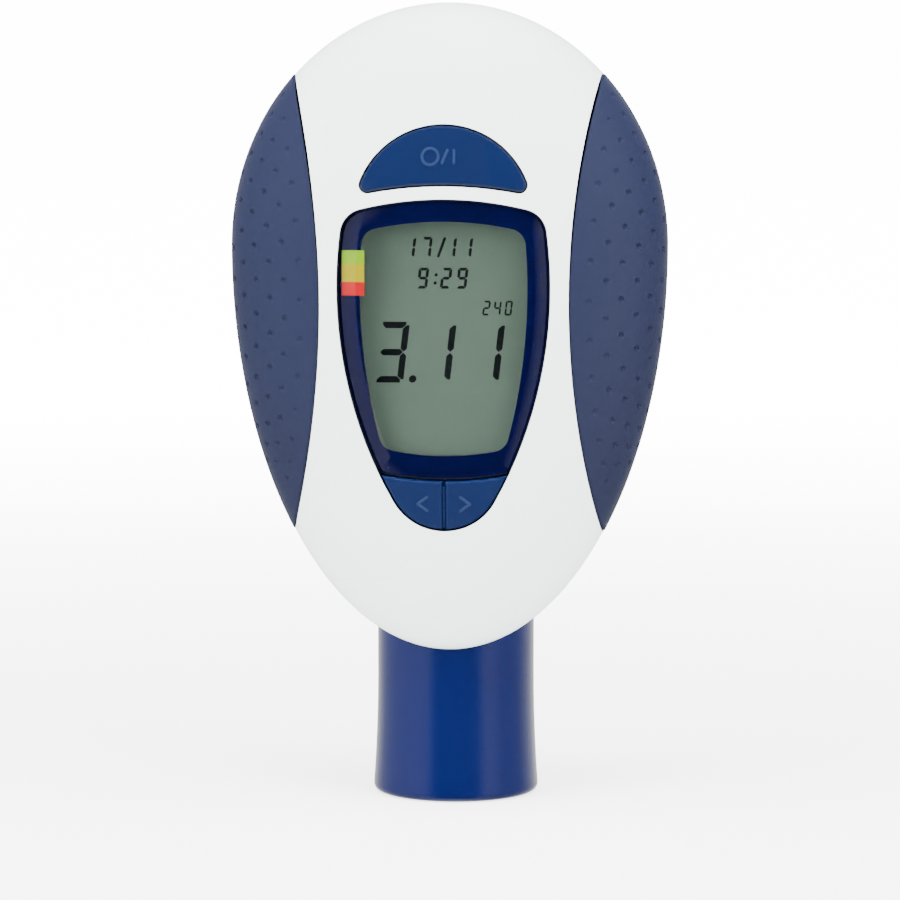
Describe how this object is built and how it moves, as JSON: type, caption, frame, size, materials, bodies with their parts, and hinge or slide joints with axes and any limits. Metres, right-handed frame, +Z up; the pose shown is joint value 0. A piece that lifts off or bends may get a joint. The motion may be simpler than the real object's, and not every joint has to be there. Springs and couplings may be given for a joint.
{
  "type": "electronic peak flow meter",
  "caption": "Hand-held lung function meter: an egg-shaped housing with display and keys over a pull-out turbine tube and a push-on mouthpiece.",
  "frame": {"origin": "centre of the mouthpiece's open end face, on the tube's axis, which the meter stands on", "axes": "+Z up the tube towards the crown, +Y from the display towards the battery door, +X to the right of someone reading the display"},
  "size_m": [0.0754, 0.048, 0.1397],
  "materials": {
    "shell_white": "fine satin moulding, pale grey white",
    "grip_navy": "soft navy with small dimples",
    "window_clear": "clear polished acrylic",
    "border_blue": "deep blue print under the window",
    "mark_green": "green print",
    "mark_yellow": "yellow print",
    "mark_red": "red print",
    "button_blue": "satin blue moulding",
    "key_blue": "satin blue moulding",
    "lcd_grey": "grey green display glass",
    "frame_black": "matte black moulding",
    "strip_pink": "conductive rubber strip",
    "board_green": "solder resist",
    "part_black": "moulded package",
    "screw_steel": "zinc plated",
    "chassis_grey": "grey moulding",
    "cell_wrap": "dark printed sleeve over steel",
    "contact_nickel": "nickel plated spring steel",
    "tube_clear": "clear polished tube",
    "seal_black": "black rubber",
    "mouth_blue": "glossy deep blue moulding",
    "stator_white": "white moulding",
    "bearing_red": "polished jewel",
    "rotor_black": "thin opaque vane",
    "shaft_steel": "ground steel",
    "sensor_dark": "dark infrared epoxy",
    "sensor_clear": "clear epoxy"
  },
  "bodies": {
    "mouthpiece": {"mouthpiece": "mouth_blue"},
    "measuring_tube": {"measuring_tube": "tube_clear", "seal_rings": "seal_black", "inlet_stator": "stator_white", "outlet_stator": "stator_white", "rotor_bearings": "bearing_red"},
    "rotor": {"rotor_vane": "rotor_black", "rotor_shaft": "shaft_steel"},
    "housing": {"front_cover": "shell_white", "rear_cover": "shell_white", "left_grip": "grip_navy", "right_grip": "grip_navy", "display_window": "window_clear", "window_border": "border_blue", "zone_mark_green": "mark_green", "zone_mark_yellow": "mark_yellow", "zone_mark_red": "mark_red", "lcd_glass": "lcd_grey", "lcd_frame": "frame_black", "contact_strips": "strip_pink", "circuit_board": "board_green", "tact_switches": "part_black", "buzzer": "part_black", "main_chip": "part_black", "board_screws": "screw_steel", "housing_screws": "screw_steel", "chassis": "chassis_grey", "battery_cells": "cell_wrap", "contact_plates": "contact_nickel", "contact_springs": "contact_nickel", "sensor_bracket": "frame_black", "ir_emitters": "sensor_clear", "ir_detectors": "sensor_dark"},
    "power_button": {"power_button": "button_blue"},
    "previous_button": {"previous_button": "key_blue"},
    "next_button": {"next_button": "key_blue"},
    "battery_door": {"battery_door": "shell_white"}
  },
  "joints": [
    {"name": "mouthpiece_pull", "type": "slide", "parent": "mouthpiece", "child": "measuring_tube", "axis": [0, 0, 1], "range_m": [0, 0.03]},
    {"name": "rotor_spin", "type": "hinge", "parent": "measuring_tube", "child": "rotor", "pos_m": [0, 0, 0.05], "axis": [0, 0, 1], "continuous": true},
    {"name": "housing_lift", "type": "slide", "parent": "measuring_tube", "child": "housing", "axis": [0, 0, 1], "range_m": [0, 0.09]},
    {"name": "power_press", "type": "slide", "parent": "housing", "child": "power_button", "axis": [0, 1, 0], "range_m": [0, 0.0006], "stiffness_N_per_m": 800, "springref_m": -0.0006},
    {"name": "previous_press", "type": "slide", "parent": "housing", "child": "previous_button", "axis": [0, 1, 0], "range_m": [0, 0.0006], "stiffness_N_per_m": 600, "springref_m": -0.0006},
    {"name": "next_press", "type": "slide", "parent": "housing", "child": "next_button", "axis": [0, 1, 0], "range_m": [0, 0.0006], "stiffness_N_per_m": 600, "springref_m": -0.0006},
    {"name": "door_release", "type": "slide", "parent": "housing", "child": "battery_door", "axis": [0, 1, 0], "range_m": [0, 0.03]}
  ]
}
